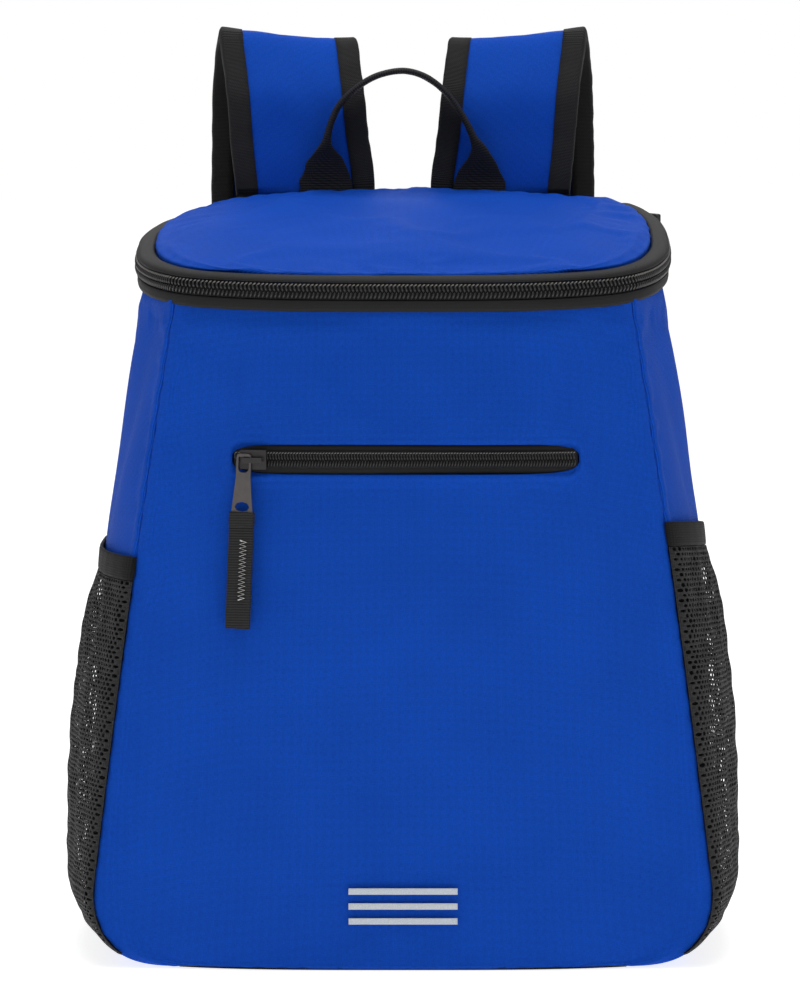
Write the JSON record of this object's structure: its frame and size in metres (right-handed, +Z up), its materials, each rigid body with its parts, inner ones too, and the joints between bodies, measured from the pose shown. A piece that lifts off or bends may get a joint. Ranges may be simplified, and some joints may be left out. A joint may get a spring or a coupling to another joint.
{
  "type": "cooler backpack",
  "caption": "Padded cooler backpack with a domed zip-round lid, front zip pocket, mesh side pockets, shoulder straps and a carry handle.",
  "frame": {"origin": "middle of the flat base, on the surface the bag stands on", "axes": "+Z up, the front faces -Y, +X to the viewer's right"},
  "size_m": [0.3188, 0.2269, 0.4274],
  "materials": {
    "blue_cloth": "royal blue woven polyester, fine coarse-yarn canvas weave, matte with a faint sheen",
    "black_cloth": "black woven polyester, matte",
    "net": "dark grey open knitted net",
    "air_mesh": "black spacer mesh, matte",
    "binding": "black ribbed binding tape",
    "webbing": "black woven webbing with visible ribs",
    "zip_tape": "black twill zip tape",
    "zip_chain": "black nylon coil teeth, slight sheen",
    "slider_metal": "gunmetal lacquer, satin",
    "reflective": "silver grey reflective film on cloth",
    "buckle_plastic": "black moulded plastic, fine matte"
  },
  "bodies": {
    "bag": {"back_panel": "black_cloth", "base_panel": "black_cloth", "body_zip_tape": "zip_tape", "buckle_left": "buckle_plastic", "buckle_loop_left": "webbing", "buckle_loop_right": "webbing", "buckle_right": "buckle_plastic", "carry_handle": "webbing", "front_panel": "blue_cloth", "lid": "blue_cloth", "lid_zip_tape": "zip_tape", "main_zip_chain": "zip_chain", "main_zip_slider": "slider_metal", "mesh_pocket_left": "net", "mesh_pocket_right": "net", "pocket_hem_left": "binding", "pocket_hem_right": "binding", "pocket_zip_chain": "zip_chain", "pocket_zip_slider": "slider_metal", "pocket_zip_tape": "zip_tape", "reflective_bar_1": "reflective", "reflective_bar_2": "reflective", "reflective_bar_3": "reflective", "shoulder_strap_left": "blue_cloth", "shoulder_strap_right": "blue_cloth", "side_gusset_left": "blue_cloth", "side_gusset_right": "blue_cloth", "strap_binding_left_inner": "binding", "strap_binding_left_outer": "binding", "strap_binding_right_inner": "binding", "strap_binding_right_outer": "binding", "strap_lining_left": "air_mesh", "strap_lining_right": "air_mesh", "strap_webbing_left": "webbing", "strap_webbing_right": "webbing"},
    "puller": {"zip_puller": "slider_metal", "pull_tab": "webbing"}
  },
  "joints": [
    {"name": "puller_swing", "type": "hinge", "parent": "bag", "child": "puller", "pos_m": [-0.07201, -0.09515, 0.2361], "axis": [-0.139, -0.9903, 0], "range_deg": [-80, 45]}
  ]
}
